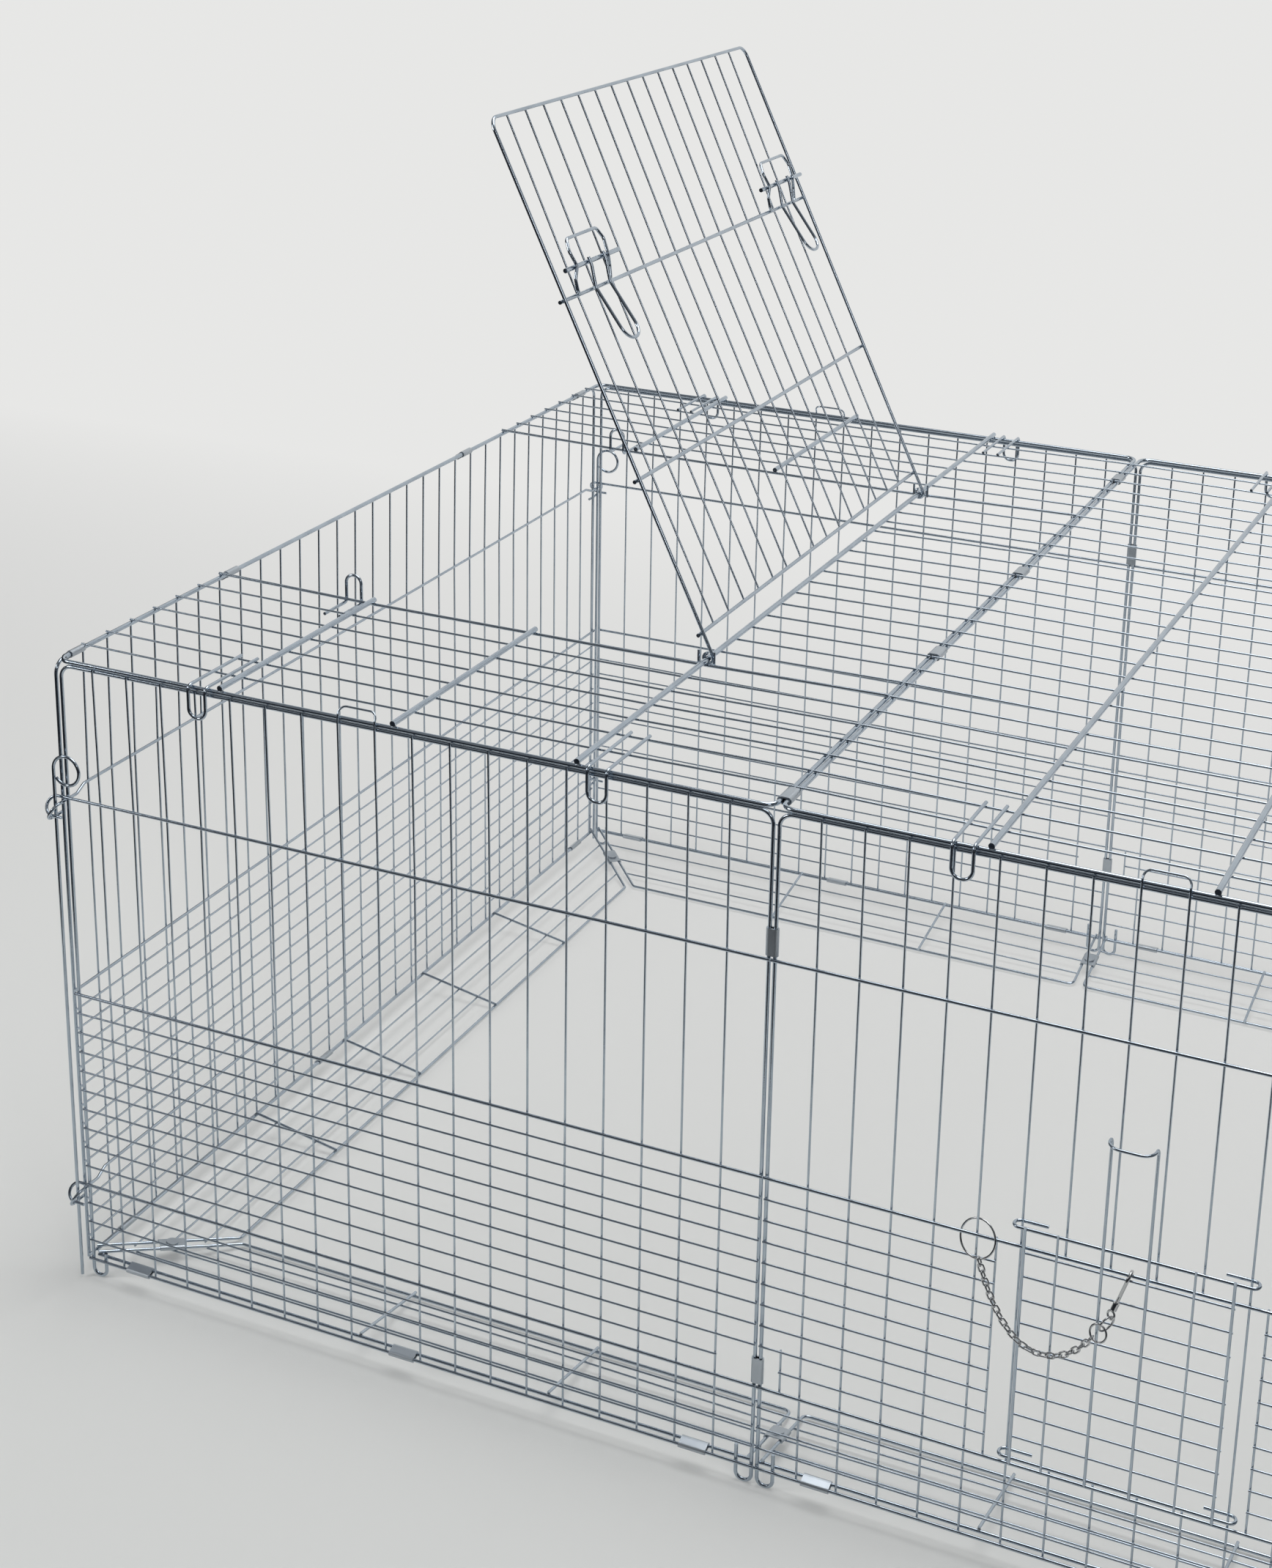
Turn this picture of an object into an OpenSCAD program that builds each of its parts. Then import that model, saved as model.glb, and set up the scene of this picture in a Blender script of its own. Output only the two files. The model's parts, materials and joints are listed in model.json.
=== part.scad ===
// Fold-flat wire run for small animals: six welded wall panels, a two-panel roof with a
// hinged flap, a sliding door and an inward lying skirt, held by corner pins and rolled clips.
// Millimetres, +Z up. Origin: centre of the footprint, on the floor.

/* [Wall panels] */
// Distance between neighbouring upright thin wires
wire_pitch = 37.5; // [30:0.5:45]
// Gaps across one long wall panel
long_gaps = 19; // [16:1:24]
// Gaps across one end wall panel
end_gaps = 30; // [24:1:36]
// Distance between neighbouring thin level wires
row_pitch = 21; // [18:0.5:24]
// Height of the bottom rail above the floor
foot_height = 20; // [18:1:30]
// Gaps from the bottom rail to the lower rail
low_rows = 4; // [3:1:6]
// Gaps from the bottom rail to the middle rail
mid_rows = 14; // [10:1:16]
// Height of the second rail above the floor
second_z = 520; // [480:5:540]
// Height of the top rail above the floor
top_z = 652; // [600:1:700]
// Distance between the two posts of a joint
joint_gap = 5.5; // [5:0.1:7]

/* [Wire sizes] */
// Posts and top rail of a wall panel
frame_d = 3.5; // [3:0.1:4]
// Level rails of a wall panel
rail_d = 3; // [2.5:0.1:3.5]
// Thin filling wires
thin_d = 2; // [1.6:0.1:2.4]
// Frame of a roof panel
roof_d = 4.5; // [4:0.1:5]
// Cross rods and hinge rod of the roof
cross_d = 5.4; // [5:0.1:5.6]
// Corner pins
pin_d = 3.2; // [3:0.1:3.4]

/* [Roof flap] */
// How far the flap stands open from its closed place
flap_open = 64; // [0:1:160]
// Gaps between the flap's thin wires
flap_gaps = 16; // [12:1:20]
// First wire of the roof that borders the opening
open_from = 7; // [5:1:9]
// Last wire of the roof that borders the opening
open_to = 23; // [21:1:25]

/* [Sliding door] */
// Upright wall wire that the left guide hook runs on, counted from the joint
door_from = 6; // [5:1:7]
// Upright wall wire that the right guide hook runs on, counted from the joint
door_to = 11; // [10:1:12]
// How far the handle rises above the door's top rail
handle_rise = 105; // [80:5:120]

/* [Skirt] */
// Width of the skirt on the floor
skirt_w = 100; // [80:5:120]
// Height of the skirt's inner rod above the floor
skirt_inner_z = 4; // [3:1:8]

/* [Hidden] */
$fn = 32;
// Gap left at each spot weld and seat, so that every wire stays a true round rod
weld = 0.02;
// Hairline between two runs of one wire that meet at a slight angle
hairline = 0.03;
zinc = [0.74, 0.77, 0.80];
steel = [0.70, 0.71, 0.72];

// Widths of the panels and places of their posts; corner_x and corner_y set the end walls
// out and in from the long walls' corners, and pin_out is the pin's distance from a corner
panel_w = long_gaps * wire_pitch;
end_w = end_gaps * wire_pitch;
half_w = joint_gap / 2 + panel_w;
corner_x = 9;
corner_y = 4;
half_d = end_w / 2 + corner_y;
pin_out = 8.5;

// Heights of the lower and the middle rail
low_z = foot_height + low_rows * row_pitch;
mid_z = foot_height + mid_rows * row_pitch;

// Depth of each layer of wire measured from the plane of the posts. Rails and rows meet
// the posts, uprights lie behind them and lean out over the top rail.
rail_y = (frame_d + rail_d) / 2 + weld;
row_y = (frame_d + thin_d) / 2 + weld;
upright_y = rail_y - (rail_d + thin_d) / 2 - weld;
upright_top_y = row_y;
// Width of a turned-under foot, the two heights of its tip, and how far rails overrun posts
foot_w = 15;
tip_short = 8;
tip_long = 17;
over = 2.4;

// Roof: how far its frame stands in from the walls, its height, gap, size and quarters
roof_in = 0.9;
roof_z = top_z + sqrt(pow((frame_d + roof_d) / 2 + 0.15, 2) - roof_in * roof_in);
roof_cross_z = roof_z + (roof_d + cross_d) / 2 + weld;
roof_gap = 6;
roof_w = half_w - roof_gap / 2 + corner_x - 6;
roof_depth = 2 * (half_d - roof_in);
roof_pitch = roof_depth / end_gaps;
quarter = roof_w / 4;
roof_x0 = -half_w - corner_x + 6;
edge_d = 3;
hook_d = 3.2;

// Flap, closed: u runs from the hinge, v along it, w up from the hinge rod's axis
flap_d = 3.5;
flap_cross_d = 3.8;
eye_r = cross_d / 2 + flap_d / 2 + 0.5;
flap_len = 3 * quarter;
flap_side = 8;
flap_y0 = -half_d + roof_in + open_from * roof_pitch + flap_side;
flap_y1 = -half_d + roof_in + open_to * roof_pitch - flap_side;
flap_span = flap_y1 - flap_y0;
flap_cross_w = eye_r - (flap_d + flap_cross_d) / 2 - weld;
flap_thin_w = flap_cross_w - (flap_cross_d + thin_d) / 2 - weld;
flap_thin_end_w = eye_r - (flap_d + thin_d) / 2 - weld;
hinge_x = roof_x0 + 3 * quarter;

// Bolts and their guides on the flap
latch_u = 2 * quarter;
bolt_u = latch_u + 25;
bolt_d = 4.6;
bolt_w = eye_r + (flap_d + bolt_d) / 2 + 0.5;
bolt_len = 112;
bolt_slid_back = 15.5;
guide_d = 3.2;
guide_w = bolt_w + bolt_d / 2 + guide_d / 2 + 0.5;
guide_v = 62;

// Sliding door: its rails, then the depths of its layers, measured as those of the wall
door_d = 3;
door_z0 = low_z + 9;
door_z1 = mid_z + 20;
door_rail_y = -7.2;
// Depth of the ends of the door's rails behind the wall
door_back_y = 3.6;
door_side_d = 2.6;
door_bar_y = door_rail_y - (door_d + thin_d) / 2 - weld;
door_side_y = door_rail_y - (door_d + door_side_d) / 2 - weld;
door_row_y = door_bar_y + thin_d + weld;
door_rows = 10;

// Skirt, sloping from skirt_z at the walls to its inner rod
skirt_z = foot_height + 2;
skirt_d = 3.2;
skirt_drop = skirt_z + skirt_d - skirt_inner_z;
skirt_tilt = atan(skirt_drop / skirt_w);
skirt_len = sqrt(skirt_w * skirt_w + skirt_drop * skirt_drop);
long_skirt_y = frame_d / 2 + skirt_d / 2 + 0.15;
end_skirt_x = 6.5;
strut_gap = 13;
// Clearance between the outer rods of two skirts that meet at a corner, from each wall
corner_clear = 12.5;

// Safety chain: split ring round the middle rail, a hanging curb chain, two rings, a hook
ring_d = 1.8;
split_r = 16.5;
split_centre = [joint_gap / 2 + (door_from - 1) * wire_pitch + 1.6, -half_d - 3.4, mid_z - 3];
link_d = 1.6;
link_half = 3.95;
link_side = 2.45;
link_step = 6;
link_reach = 2.05;
links = 25;
sag = 33;
chain_s = -96;
chain_y = -half_d - 15.5;
// The chain leaves the split ring this far behind its plane and reaches it after lean_s
chain_lean = -6.6;
lean_s = 76;
chain_low = [split_centre[0] + 62.6, mid_z - 86.7];
ring_r = 7.5;
eye_ring_r = 3.6;
// How much closer two linked rings sit than rings that touch side by side
ring_seat = 2.4;
ring_angle = 49;
ring_a = hang(chain_s + 2 * link_reach + (links - 1) * link_step)
  + ring_r * [cos(ring_angle), 0, sin(ring_angle)];
hook_angle = 72.7;
ring_b = ring_a + (2 * ring_r - ring_seat) * [cos(60), 0, sin(60)];
hook_eye = ring_b
  + (ring_r + eye_ring_r - ring_seat) * [cos(hook_angle), 0, sin(hook_angle)] + [0, 1.5, 0];

// ---- wire helpers ----

function unit(v) = v / norm(v);
function turn(u, v) = acos(max(-1, min(1, u * v)));
function pick(r, i) = is_list(r) ? r[i - 1] : r;
function setback(p, i, r) = i == 0 || i == len(p) - 1 ? 0
  : pick(r, i) * tan(turn(unit(p[i] - p[i - 1]), unit(p[i + 1] - p[i])) / 2);

// A straight round rod from a to b.
module rod(a, b, d) {
  v = b - a;
  translate(a)
    rotate([0, acos(v[2] / norm(v)), atan2(v[1], v[0])])
      cylinder(h = norm(v), d = d);
}

// An arc of round wire about centre c that leaves c + r * e heading along u.
module arc(c, e, u, angle, r, d) {
  w = cross(e, u);
  multmatrix([[e[0], u[0], w[0], c[0]], [e[1], u[1], w[1], c[1]], [e[2], u[2], w[2], c[2]]])
    rotate_extrude(angle = angle) translate([r, 0]) circle(d = d);
}

// One bend of a wire at corner p, from heading u to heading v.
module bend(p, u, v, r, d) {
  inward = unit(v - u * (u * v));
  arc(p - u * r * tan(turn(u, v) / 2) + inward * r, -inward, u, turn(u, v), r, d);
}

// A wire through the points p with bend radius r, or one radius for each inner point.
// loose is the hairline left between a straight run and a bend that isn't square.
module wire(p, d, r, loose = 0) {
  last = len(p) - 1;
  for (i = [0 : last - 1]) {
    u = unit(p[i + 1] - p[i]);
    start = setback(p, i, r) + (i == 0 ? 0 : loose);
    end = setback(p, i + 1, r) + (i == last - 1 ? 0 : loose);
    rod(p[i] + u * start, p[i + 1] - u * end, d);
  }
  for (i = [1 : 1 : last - 1])
    bend(p[i], unit(p[i] - p[i - 1]), unit(p[i + 1] - p[i]), pick(r, i), d);
}

// A rolled sheet sleeve along Y round two rods at a and b, given as [x, z].
module sleeve(a, b, ra, rb, length) {
  wall = 1.1;
  v = b - a;
  narrow = min(ra, rb);
  rotate([90, 0, 0]) linear_extrude(length, center = true) difference() {
    union() {
      translate(a) circle(r = ra + wall);
      translate(b) circle(r = rb + wall);
      translate(a) rotate(atan2(v[1], v[0])) translate([0, -narrow - wall])
        square([norm(v), 2 * (narrow + wall)]);
    }
    translate(a) circle(r = ra);
    translate(b) circle(r = rb);
    translate(a) rotate(atan2(v[1], v[0])) translate([0, -narrow + 0.4])
      square([norm(v), 2 * narrow - 0.8]);
  }
}

// ---- wall panels ----

// Frame rod of a wall panel: an inverted U whose ends turn under as feet or are cut off.
module wall_frame(width, feet, tips) {
  foot_z = frame_d / 2;
  if (feet)
    wire([[foot_w, 0, foot_height + tips[0]], [foot_w, 0, foot_z], [0, 0, foot_z],
        [0, 0, top_z], [width, 0, top_z], [width, 0, foot_z], [width - foot_w, 0, foot_z],
        [width - foot_w, 0, foot_height + tips[1]]], frame_d, [7, 7, 12, 12, 7, 7], hairline);
  else
    wire([[0, 0, foot_height - 4], [0, 0, top_z], [width, 0, top_z],
        [width, 0, foot_height - 4]], frame_d, 12, hairline);
}

// A rail with a bend round the corner pin: level in, half turn, lower leg back.
module pin_eye(z, pin, near_y, far_y, drop, back_to, d) {
  half = [0, (far_y - near_y) / 2, -drop / 2];
  r = norm(half);
  translate([pin - hairline, (near_y + far_y) / 2, z - drop / 2])
    rotate([atan2(-half[2], -half[1]), 0, 0]) {
      arc([0, 0, 0], [0, 1, 0], [-1, 0, 0], 180, r, d);
      rod([0, -r, 0], [back_to - pin, -r, 0], d);
    }
}

// An upright thin wire. One that reaches the top rail leans out from the second rail up.
module upright(x, z0, z1) {
  if (z1 > second_z) {
    lean = (upright_top_y - upright_y) / (top_z - second_z);
    rod([x, -upright_y, z0], [x, -upright_y, second_z - hairline], thin_d);
    rod([x, -upright_y - lean * hairline, second_z + hairline],
      [x, -upright_y - lean * (z1 - second_z), z1], thin_d);
  } else {
    rod([x, -upright_y, z0], [x, -upright_y, z1], thin_d);
  }
}

module row(x0, x1, z) {
  rod([x0, -row_y, z], [x1, -row_y, z], thin_d);
}

// Two uprights run on over the roof rod and join in a bow that leans inwards.
module bow(x, width) {
  rise = 9;
  lean = 5;
  y = -upright_top_y;
  foot = top_z - 2;
  high = roof_z + roof_d / 2;
  wire([[x, y, foot], [x, y, high + 1], [x, y + lean, high + rise],
      [x + width, y + lean, high + rise], [x + width, y, high + 1], [x + width, y, foot]],
    thin_d, [6, 7, 7, 6], hairline);
}

// Long wall panel between two posts. corner is -1 with its corner post on the left and
// +1 with it on the right. door leaves the opening for the sliding door.
module long_wall(corner, door) {
  left_end = corner < 0;
  bow_from = 8;
  wall_frame(panel_w, true, left_end ? [tip_short, tip_long] : [tip_long, tip_short]);
  for (z = [foot_height, mid_z])
    rod([-over, -rail_y, z], [panel_w + over, -rail_y, z], rail_d);
  for (z = [low_z, second_z]) {
    x0 = left_end ? -pin_out : -over;
    x1 = left_end ? panel_w + over : panel_w + pin_out;
    rod([x0, -rail_y, z], [x1, -rail_y, z], rail_d);
    translate([left_end ? 0 : panel_w, 0, 0]) mirror([left_end ? 0 : 1, 0, 0])
      pin_eye(z, -pin_out, -rail_y, -2 * pin_out + rail_y, 16, 2, rail_d);
  }
  for (i = [1 : long_gaps - 1]) {
    x = i * wire_pitch;
    in_bow = i == bow_from || i == bow_from + 1;
    top = in_bow ? top_z - 2 - hairline : top_z + 2;
    if (door && i > door_from && i < door_to) {
      upright(x, foot_height - 1, low_z + 2);
      upright(x, mid_z - 2, top);
    } else {
      upright(x, foot_height - 1, top);
    }
  }
  bow(bow_from * wire_pitch, wire_pitch);
  for (k = [1 : mid_rows - 1]) {
    z = foot_height + k * row_pitch;
    in_door = door && k > low_rows;
    short = k == low_rows + 1;
    joint_short = left_end ? [-1, panel_w - wire_pitch + 2] : [wire_pitch / 2 - 1, panel_w + 1];
    span = short ? joint_short : [-1.2, panel_w + 1.2];
    if (k != low_rows && !in_door) row(span[0], span[1], z);
    if (k != low_rows && in_door) {
      row(span[0], door_edge[0] + 1, z);
      row(door_edge[1] - 1, span[1], z);
    }
  }
  if (!left_end) upright(wire_pitch / 2, low_z - 1, low_z + 2 * row_pitch + 1);
  if (door)
    for (x = door_edge) upright(x, low_z - 1, mid_z + 1);
}

// The two extra uprights that border the door's opening.
door_edge = [(door_from - 0.55) * wire_pitch, (door_to + 0.4) * wire_pitch];

// End wall panel, drawn with its rails towards -Y, which is the inner face.
module end_wall() {
  wall_frame(end_w, false, []);
  for (z = [foot_height, mid_z])
    rod([-over, -rail_y, z], [end_w + over, -rail_y, z], rail_d);
  for (z = [low_z, second_z]) {
    eye_x = -(pin_out + corner_y);
    eye_y = pin_out - corner_x;
    near = eye_y - 4.6;
    wire([[eye_x, near, z - 5], [14, near, z - 5], [28, -rail_y, z], [end_w - 28, -rail_y, z],
        [end_w - 14, near, z - 5], [end_w - eye_x, near, z - 5]], rail_d, 10, hairline);
    for (side = [0, 1])
      translate([side * end_w, 0, 0]) mirror([side, 0, 0])
        pin_eye(z - 5, eye_x, near, eye_y + 4.6, 16, 3, rail_d);
  }
  for (i = [1 : end_gaps - 1]) upright(i * wire_pitch, foot_height - 1, top_z + 1.4);
  for (k = [1 : mid_rows - 1])
    if (k != low_rows) row(-1.2, end_w + 1.2, foot_height + k * row_pitch);
}

// Places a left or right, front or back half of what is drawn for front and left.
module place(right, back) {
  mirror([right ? 1 : 0, 0, 0]) mirror([0, back ? 1 : 0, 0]) children();
}

module long_wall_at(right, back, door) {
  mirror([0, back ? 1 : 0, 0])
    translate([right ? joint_gap / 2 : -half_w, -half_d, 0]) long_wall(right ? 1 : -1, door);
}

module end_wall_at(right) {
  mirror([right ? 1 : 0, 0, 0]) translate([-half_w - corner_x, -half_d + corner_y, 0])
    rotate([0, 0, 90]) end_wall();
}

module wall_front_left() { color(zinc) long_wall_at(false, false, false); }
module wall_front_right() { color(zinc) long_wall_at(true, false, true); }
module wall_back_left() { color(zinc) long_wall_at(false, true, false); }
module wall_back_right() { color(zinc) long_wall_at(true, true, false); }
module wall_left() { color(zinc) end_wall_at(false); }
module wall_right() { color(zinc) end_wall_at(true); }

// ---- roof ----

// Closed frame rod of a roof panel, drawn from its outer front corner.
module roof_frame() {
  r = 12;
  in = r + hairline;
  for (x = [0, roof_w]) rod([x, in, roof_z], [x, roof_depth - in, roof_z], roof_d);
  for (y = [0, roof_depth]) rod([in, y, roof_z], [roof_w - in, y, roof_z], roof_d);
  arc([r, r, roof_z], [-1, 0, 0], [0, -1, 0], 90, r, roof_d);
  arc([roof_w - r, r, roof_z], [0, -1, 0], [1, 0, 0], 90, r, roof_d);
  arc([roof_w - r, roof_depth - r, roof_z], [1, 0, 0], [0, 1, 0], 90, r, roof_d);
  arc([r, roof_depth - r, roof_z], [0, 1, 0], [-1, 0, 0], 90, r, roof_d);
}

// A roof wire of diameter d: it lies on the side rods and under the cross rods.
module roof_wire(i, d, from_hinge) {
  y = i * roof_pitch;
  high = roof_z + (roof_d + d) / 2 + weld;
  low = roof_cross_z - (cross_d + d) / 2 - weld;
  tip = high + 2 * (high - low) / quarter;
  from = 3 * quarter + hairline;
  rod([from_hinge ? 3 * quarter - 4 : quarter + hairline, y, low], [from - 2 * hairline, y, low],
    d);
  rod([from, y, low], [roof_w + 2, y, tip], d);
  if (!from_hinge) rod([-2, y, tip], [quarter - hairline, y, low], d);
}

module roof_cross(x, y0, y1) {
  rod([x, y0, roof_cross_z], [x, y1, roof_cross_z], cross_d);
}

// A retaining hook: two rods over the frame that bend down outside it and join.
module edge_hook(x) {
  half = 9;
  out = -roof_in - 6;
  hook_z = roof_z + 4.25;
  low = top_z - 22;
  wire([[x - half, 2 * roof_pitch + 3, hook_z], [x - half, out, hook_z], [x - half, out, low],
      [x + half, out, low], [x + half, out, hook_z], [x + half, 2 * roof_pitch + 3, hook_z]],
    hook_d, [5, 8.5, 8.5, 5], hairline);
}

// A catch for one flap bolt: an upright hoop whose legs lie under the strip's wires.
module bolt_catch(x, edge, side) {
  half = 8.5;
  low = roof_z - 2.4;
  y = edge + side * 3.2;
  high = roof_z + 26;
  far = edge - side * 38;
  wire([[x - half, far, low], [x - half, y, low], [x - half, y, high], [x + half, y, high],
      [x + half, y, low], [x + half, far, low]], hook_d, [4, 8, 8, 4], hairline);
}

// A small upright staple beside the hinge rod that keeps the flap's eye in place.
module hinge_keeper(edge, side) {
  y = edge + side * (edge_d / 2 + 1.2 + 2 * weld);
  for (x = [-1, 1])
    rod([3 * quarter + x * 8, y, roof_z], [3 * quarter + x * 8, y, roof_cross_z + 9], 2.4);
}

module roof_left() {
  color(zinc) translate([roof_x0, -half_d + roof_in, 0]) {
    roof_frame();
    front_edge = open_from * roof_pitch;
    back_edge = open_to * roof_pitch;
    for (i = [1 : end_gaps - 1]) {
      d = i == open_from || i == open_to ? edge_d : thin_d;
      inside = i > open_from && i < open_to;
      roof_wire(i, d, inside);
    }
    for (c = [1, 2]) {
      roof_cross(c * quarter, -2, front_edge + 2);
      roof_cross(c * quarter, back_edge - 2, roof_depth + 2);
    }
    roof_cross(3 * quarter, -2, roof_depth + 2);
    for (x = [0.22, 0.78])
      for (side = [0, 1])
        translate([0, side * roof_depth, 0]) mirror([0, side, 0]) edge_hook(x * roof_w);
    bolt_catch(3 * quarter - bolt_u + 1, front_edge, 1);
    bolt_catch(3 * quarter - bolt_u + 1, back_edge, -1);
    hinge_keeper(front_edge, 1);
    hinge_keeper(back_edge, -1);
  }
}

module roof_right() {
  color(zinc) mirror([1, 0, 0]) translate([roof_x0, -half_d + roof_in, 0]) {
    roof_frame();
    for (i = [1 : end_gaps - 1]) roof_wire(i, thin_d, false);
    for (c = [1 : 3]) roof_cross(c * quarter, -2, roof_depth + 2);
    for (x = [0.22, 0.78])
      for (side = [0, 1])
        translate([0, side * roof_depth, 0]) mirror([0, side, 0]) edge_hook(x * roof_w);
  }
}

// ---- flap, drawn closed with u towards its free edge, then turned about the hinge ----

module flap_place() {
  translate([hinge_x, flap_y0, roof_cross_z]) rotate([0, flap_open, 0]) mirror([1, 0, 0])
    children();
}

// A thin wire of the flap, under the cross wires and under the free edge.
module flap_wire(y) {
  rod([22, y, flap_thin_w], [latch_u - hairline, y, flap_thin_w], thin_d);
  rod([latch_u + hairline, y, flap_thin_w], [flap_len + 0.8, y, flap_thin_end_w], thin_d);
}

module roof_flap() {
  color(zinc) flap_place() {
    // side rods and free edge in one bent rod, ending in eyes round the hinge rod
    wire([[0, 0, eye_r], [flap_len, 0, eye_r], [flap_len, flap_span, eye_r],
        [0, flap_span, eye_r]], flap_d, 12, hairline);
    for (y = [0, flap_span])
      arc([-hairline, y, 0], [0, 0, 1], [-1, 0, 0], 290, eye_r, flap_d);
    for (u = [24, quarter, latch_u])
      rod([u, -4.5, flap_cross_w], [u, flap_span + 4.5, flap_cross_w], flap_cross_d);
    pitch = flap_span / flap_gaps;
    for (i = [1 : flap_gaps - 1])
      flap_wire(i * pitch);
  }
}

// Waisted guide bail that stands over a bolt, centred on v = 0, with its lower bar on
// the flap's latch wire.
module bolt_guide() {
  base_w = flap_cross_w + (flap_cross_d + guide_d) / 2 + weld;
  top_u = latch_u + 52;
  waist = 32.5;
  wire([[latch_u, 4, base_w], [latch_u, 34, base_w], [latch_u + 14, 36, base_w + 4],
      [bolt_u, waist, guide_w], [top_u - 12, 36, guide_w], [top_u, 31, guide_w - 1],
      [top_u, -31, guide_w - 1], [top_u - 12, -36, guide_w], [bolt_u, -waist, guide_w],
      [latch_u + 14, -36, base_w + 4], [latch_u, -34, base_w], [latch_u, 3.9, base_w]],
    guide_d, [6, 7, 7, 7, 6, 6, 7, 7, 7, 6], hairline);
}

module flap_bolt_guides() {
  color(zinc) flap_place() {
    for (v = [guide_v, flap_span - guide_v]) translate([0, v, 0]) bolt_guide();
  }
}

// Sliding bolt with its bent handle, drawn for the front; v runs inwards.
module bolt() {
  leg_w = bolt_w + (bolt_d + guide_d) / 2 + weld;
  clear_w = flap_cross_w + flap_cross_d / 2 + guide_d * 1.5 + 0.6;
  tip_w = clear_w + 11;
  tip_u = latch_u - 57;
  rod([bolt_u, 13, bolt_w], [bolt_u, 13 + bolt_len, bolt_w], bolt_d);
  wire([[bolt_u + 4, 57, leg_w], [bolt_u - 4, 57, leg_w], [latch_u, 57, clear_w],
      [tip_u, 57, tip_w], [tip_u, 87, tip_w], [latch_u, 87, clear_w],
      [bolt_u - 4, 87, leg_w], [bolt_u + 4, 87, leg_w]], guide_d, [5, 14, 14, 14, 14, 5],
    hairline);
}

module flap_bolt_front() { color(zinc) flap_place() bolt(); }

module flap_bolt_back() {
  color(zinc) flap_place()
    translate([0, flap_span + bolt_slid_back, 0]) mirror([0, 1, 0]) bolt();
}

// ---- sliding door ----

// A level door rail whose ends turn back round the guide uprights.
module door_rail(z) {
  x0 = door_from * wire_pitch - 1;
  x1 = door_to * wire_pitch + 1;
  r = (door_back_y - door_rail_y) / 2;
  y = (door_back_y + door_rail_y) / 2;
  rod([x0, door_rail_y, z], [x1, door_rail_y, z], door_d);
  for (end = [[x0, -1], [x1, 1]]) {
    arc([end[0] + end[1] * hairline, y, z], [0, -1, 0], [end[1], 0, 0], 180, r, door_d);
    rod([end[0], door_back_y, z], [end[0] - end[1] * 22, door_back_y, z], door_d);
  }
}

module sliding_door() {
  color(zinc) translate([joint_gap / 2, -half_d, 0]) {
    for (z = [door_z0, door_z1]) door_rail(z);
    left = door_from * wire_pitch + 5;
    right = (door_to - 0.3) * wire_pitch;
    for (x = [left, right])
      rod([x, door_side_y, door_z0 - 3], [x, door_side_y, door_z1 + 3], door_side_d);
    step = (door_z1 - door_z0) / door_rows;
    for (k = [1 : door_rows - 1])
      rod([left - 1.5, door_row_y, door_z0 + k * step], [right + 1.5, door_row_y,
          door_z0 + k * step], thin_d);
    for (i = [door_from + 1, door_to - 1]) {
      x = i * wire_pitch - 5;
      rod([x, door_bar_y, door_z0 - 3], [x, door_bar_y, door_z1 + 3], thin_d);
    }
    xa = (door_from + 2) * wire_pitch - 5;
    xb = (door_from + 3) * wire_pitch - 5;
    high = door_z1 + handle_rise;
    y = door_side_y;
    wire([[xa, y, door_z0 - 3], [xa, y, high], [xa, y - 18, high], [xb, y - 18, high],
        [xb, y, high], [xb, y, door_z0 - 3]], door_side_d, [6, 11, 11, 6], hairline);
  }
}

// ---- corner pins ----

module corner_pin() {
  ring_r = 14.5;
  ring_z = second_z + 30;
  x = -half_w - pin_out;
  y = -half_d - pin_out;
  rod([x, y, 3], [x, y, ring_z], pin_d);
  arc([x + ring_r, y, ring_z], [-1, 0, 0], [0, 0, 1], 325, ring_r, pin_d);
}

module corner_pin_front_left() { color(zinc) place(false, false) corner_pin(); }
module corner_pin_front_right() { color(zinc) place(true, false) corner_pin(); }
module corner_pin_back_left() { color(zinc) place(false, true) corner_pin(); }
module corner_pin_back_right() { color(zinc) place(true, true) corner_pin(); }

// ---- rolled clips ----

module wall_joint_clips() {
  color(steel) for (side = [-1, 1])
    for (z = [low_z + 3, second_z + 3])
      translate([0, side * half_d, z + 12.5]) rotate([90, 0, 0])
        sleeve([-joint_gap / 2, 0], [joint_gap / 2, 0], frame_d / 2 + 0.15, frame_d / 2 + 0.15, 25);
}

module roof_joint_clips() {
  color(steel) for (k = [0.67, 10.5, 17.5, 27.5])
    translate([0, -half_d + roof_in + k * roof_pitch, roof_z])
      sleeve([-roof_gap / 2, 0], [roof_gap / 2, 0], roof_d / 2 + 0.15, roof_d / 2 + 0.15, 22);
}

module roof_edge_clips() {
  color(steel) for (side = [0, 1]) mirror([side, 0, 0])
    for (k = [0.71, 7.5, 20.5, 28.5])
      translate([-half_w - corner_x, -half_d + roof_in + k * roof_pitch, 0])
        sleeve([0, top_z], [6, roof_z], frame_d / 2 + 0.15, roof_d / 2 + 0.15, 20);
}

// ---- skirt ----

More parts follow.
